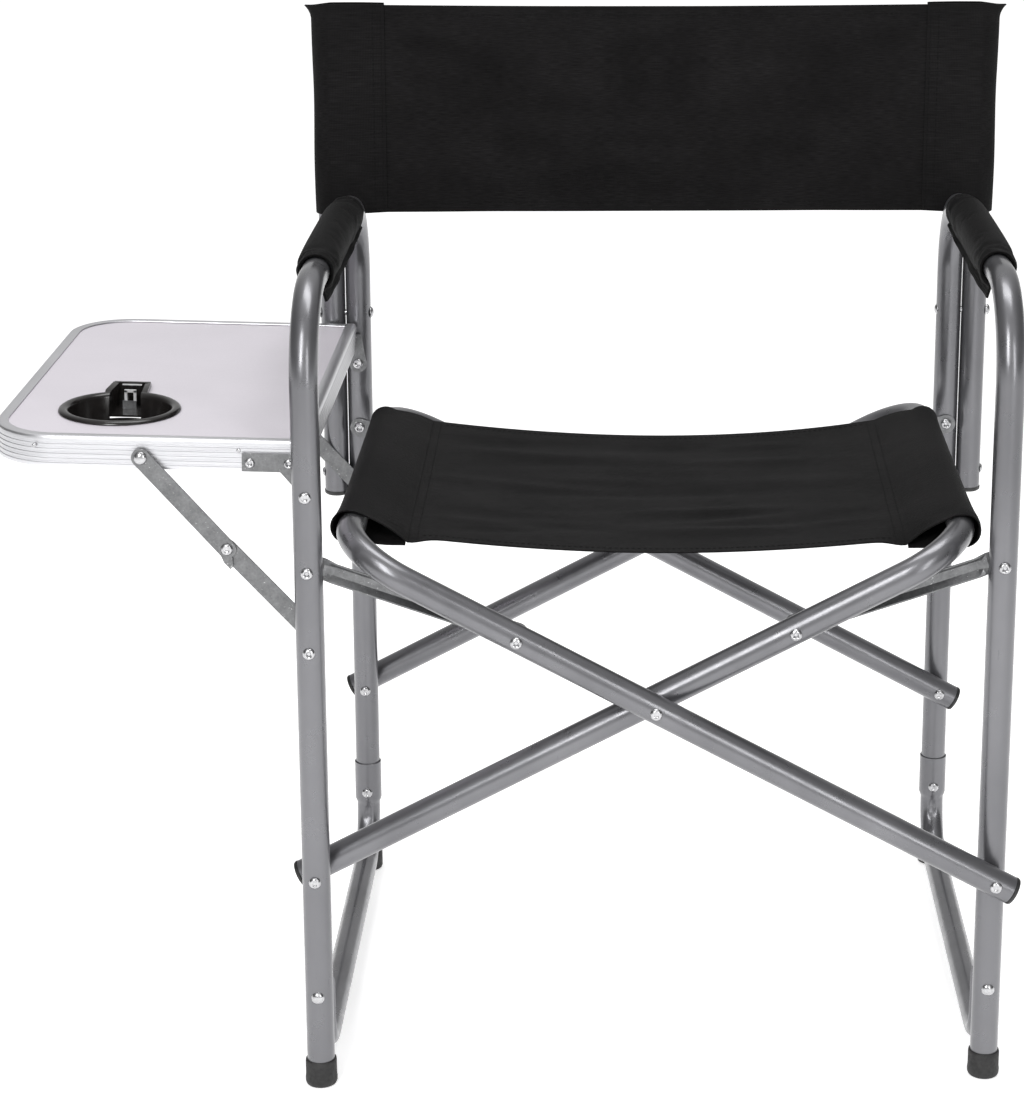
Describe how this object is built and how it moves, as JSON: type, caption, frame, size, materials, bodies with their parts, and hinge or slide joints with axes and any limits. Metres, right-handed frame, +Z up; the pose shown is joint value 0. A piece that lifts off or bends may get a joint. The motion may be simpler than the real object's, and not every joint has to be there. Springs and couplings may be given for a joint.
{
  "type": "folding camp chair",
  "caption": "Folding tubular camp chair with fabric seat and back, padded arms and a fold-down side table with a cup holder.",
  "frame": {"origin": "on the ground, under the middle of the chair with its table open", "axes": "+X to the right as seen from in front of the chair, the side table being on -X; the sitter faces -Y; +Z up"},
  "size_m": [0.923, 0.5264, 0.921],
  "materials": {
    "tube": "silver grey powder coat",
    "rivet": "bright zinc",
    "zinc": "galvanised, mottled",
    "rubber": "matt",
    "plug": "moulded",
    "canvas": "plain woven polyester",
    "foam": "woven cover over foam",
    "laminate": "smooth laminate",
    "extrusion": "satin, ribbed",
    "cup": "gloss"
  },
  "bodies": {
    "left_frame": {"back_sling": "canvas", "brace_leg_rivet_left_front": "rivet", "brace_leg_rivet_left_rear": "rivet", "left_arm_frame": "tube", "left_arm_pad": "foam", "left_back_post": "tube", "left_front_foot": "rubber", "left_post_cap": "plug", "left_post_rivet": "rivet", "left_rear_foot": "rubber", "left_side_rail": "tube", "lower_pivot_rivet_left_front": "rivet", "lower_pivot_rivet_left_rear": "rivet", "strut_leg_rivet_front": "rivet", "strut_leg_rivet_rear": "rivet", "table_pivot_rivet_front": "rivet", "table_pivot_rivet_rear": "rivet"},
    "scissor_a": {"brace_scissor_rivet_right_front": "rivet", "brace_scissor_rivet_right_rear": "rivet", "cross_rivet_front": "rivet", "cross_rivet_rear": "rivet", "scissor_a_front_plug": "plug", "scissor_a_rear_plug": "plug", "scissor_frame_a": "tube"},
    "scissor_b": {"brace_scissor_rivet_left_front": "rivet", "brace_scissor_rivet_left_rear": "rivet", "scissor_b_front_plug": "plug", "scissor_b_rear_plug": "plug", "scissor_frame_b": "tube", "seat_sling": "canvas"},
    "right_frame": {"brace_leg_rivet_right_front": "rivet", "brace_leg_rivet_right_rear": "rivet", "lower_pivot_rivet_right_front": "rivet", "lower_pivot_rivet_right_rear": "rivet", "right_arm_frame": "tube", "right_arm_pad": "foam", "right_back_post": "tube", "right_front_foot": "rubber", "right_post_cap": "plug", "right_post_rivet": "rivet", "right_rear_foot": "rubber", "right_side_rail": "tube"},
    "left_braces": {"left_front_brace": "zinc", "left_rear_brace": "zinc"},
    "right_braces": {"right_front_brace": "zinc", "right_rear_brace": "zinc"},
    "table": {"cup_holder": "cup", "strut_table_rivet_front": "rivet", "strut_table_rivet_rear": "rivet", "table_edge_trim": "extrusion", "table_front_hinge": "zinc", "table_inner_rail": "extrusion", "table_panel": "laminate", "table_rear_hinge": "zinc"},
    "strut_lower": {"strut_front_lower_link": "zinc", "strut_joint_rivet_rear": "rivet", "strut_rear_lower_link": "zinc"},
    "strut_upper": {"strut_front_upper_link": "zinc", "strut_joint_rivet_front": "rivet", "strut_rear_upper_link": "zinc"}
  },
  "joints": [
    {"name": "fold", "type": "hinge", "parent": "left_frame", "child": "scissor_a", "pos_m": [-0.18183, -0.01245, 0.201], "axis": [0, -1, 0], "range_deg": [0, 45.54], "deforming": ["seat_sling", "back_sling"]},
    {"name": "scissor_cross", "type": "hinge", "parent": "scissor_a", "child": "scissor_b", "pos_m": [0.11917, -0.01245, 0.362], "axis": [0, -1, 0], "range_deg": [-97.74, 0]},
    {"name": "right_lower_pivot", "type": "hinge", "parent": "scissor_b", "child": "right_frame", "pos_m": [0.42017, -0.01245, 0.201], "axis": [0, -1, 0], "range_deg": [0, 45.56]},
    {"name": "left_brace_pivot", "type": "hinge", "parent": "left_frame", "child": "left_braces", "pos_m": [-0.18183, -0.01245, 0.489], "axis": [0, -1, 0], "range_deg": [0, 86.56]},
    {"name": "right_brace_pivot", "type": "hinge", "parent": "right_frame", "child": "right_braces", "pos_m": [0.42017, -0.01245, 0.489], "axis": [0, -1, 0], "range_deg": [-86.56, 0]},
    {"name": "table_fold", "type": "hinge", "parent": "left_frame", "child": "table", "pos_m": [-0.18183, -0.01245, 0.557], "axis": [0, -1, 0], "range_deg": [0, 86]},
    {"name": "strut_lower_pivot", "type": "hinge", "parent": "left_frame", "child": "strut_lower", "pos_m": [-0.18183, -0.01245, 0.416], "axis": [0, -1, 0], "range_deg": [0, 125.38]},
    {"name": "strut_upper_pivot", "type": "hinge", "parent": "table", "child": "strut_upper", "pos_m": [-0.32527, -0.01245, 0.58501], "axis": [0, -1, 0], "range_deg": [-123.02, 0]}
  ],
  "couplings": [
    {"joint": "scissor_cross", "follows": "fold", "ratio": -2.1457},
    {"joint": "right_lower_pivot", "follows": "fold", "ratio": 1},
    {"joint": "left_brace_pivot", "follows": "fold", "ratio": 1.9003},
    {"joint": "right_brace_pivot", "follows": "fold", "ratio": -1.9003},
    {"joint": "strut_lower_pivot", "follows": "table_fold", "ratio": 1.4577},
    {"joint": "strut_upper_pivot", "follows": "table_fold", "ratio": -1.4303}
  ]
}
